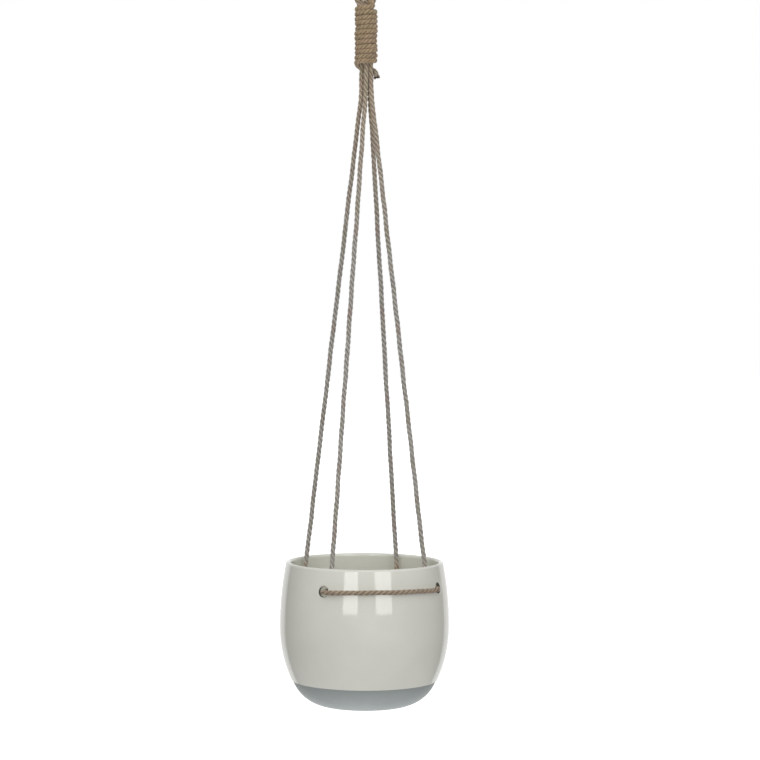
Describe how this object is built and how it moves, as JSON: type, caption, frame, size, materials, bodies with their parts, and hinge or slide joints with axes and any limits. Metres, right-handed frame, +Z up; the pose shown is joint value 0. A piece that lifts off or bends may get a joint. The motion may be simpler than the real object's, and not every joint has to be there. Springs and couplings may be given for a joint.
{
  "type": "hanging planter",
  "caption": "Round-bellied glazed ceramic pot hung on two jute ropes that pass through holes under its rim and meet in a wrapped knot with a hanging loop.",
  "frame": {"origin": "where a hook bears, inside the top of the hanging loop", "axes": "+Z up along the hanging line, -Y towards the front, where one rope crosses the pot between its two front holes, +X to the right seen from the front"},
  "size_m": [0.1454, 0.1492, 0.6675],
  "materials": {
    "bare_ceramic": "satin",
    "cream_glaze": "gloss",
    "jute_rope": "matte",
    "wrap_rope": "matte"
  },
  "bodies": {
    "loop": {"front_rope_loop": "jute_rope", "back_rope_loop": "jute_rope"},
    "knot": {"knot_wrap": "wrap_rope", "knot_tail": "wrap_rope", "front_rope_core": "jute_rope", "back_rope_core": "jute_rope"},
    "neck": {"front_rope_neck": "jute_rope", "back_rope_neck": "jute_rope"},
    "legs": {"front_left_leg": "jute_rope", "front_right_leg": "jute_rope", "back_left_leg": "jute_rope", "back_right_leg": "jute_rope"},
    "pot": {"pot_body": "bare_ceramic", "glaze_coat": "cream_glaze", "front_rope_run": "jute_rope", "back_rope_run": "jute_rope"}
  },
  "joints": [
    {"name": "side_swing", "type": "hinge", "parent": "loop", "child": "knot", "pos_m": [0, 0, 0], "axis": [0, 1, 0], "range_deg": [-30, 30]},
    {"name": "front_swing", "type": "hinge", "parent": "knot", "child": "neck", "pos_m": [0, 0, -0.1173], "axis": [1, 0, 0], "range_deg": [-25, 25]},
    {"name": "turn", "type": "hinge", "parent": "neck", "child": "legs", "pos_m": [0, 0, -0.139], "axis": [0, 0, 1], "range_deg": [-90, 90]},
    {"name": "pot_tilt", "type": "hinge", "parent": "legs", "child": "pot", "pos_m": [0, 0, -0.559], "axis": [0, 1, 0], "range_deg": [-10, 10]}
  ]
}
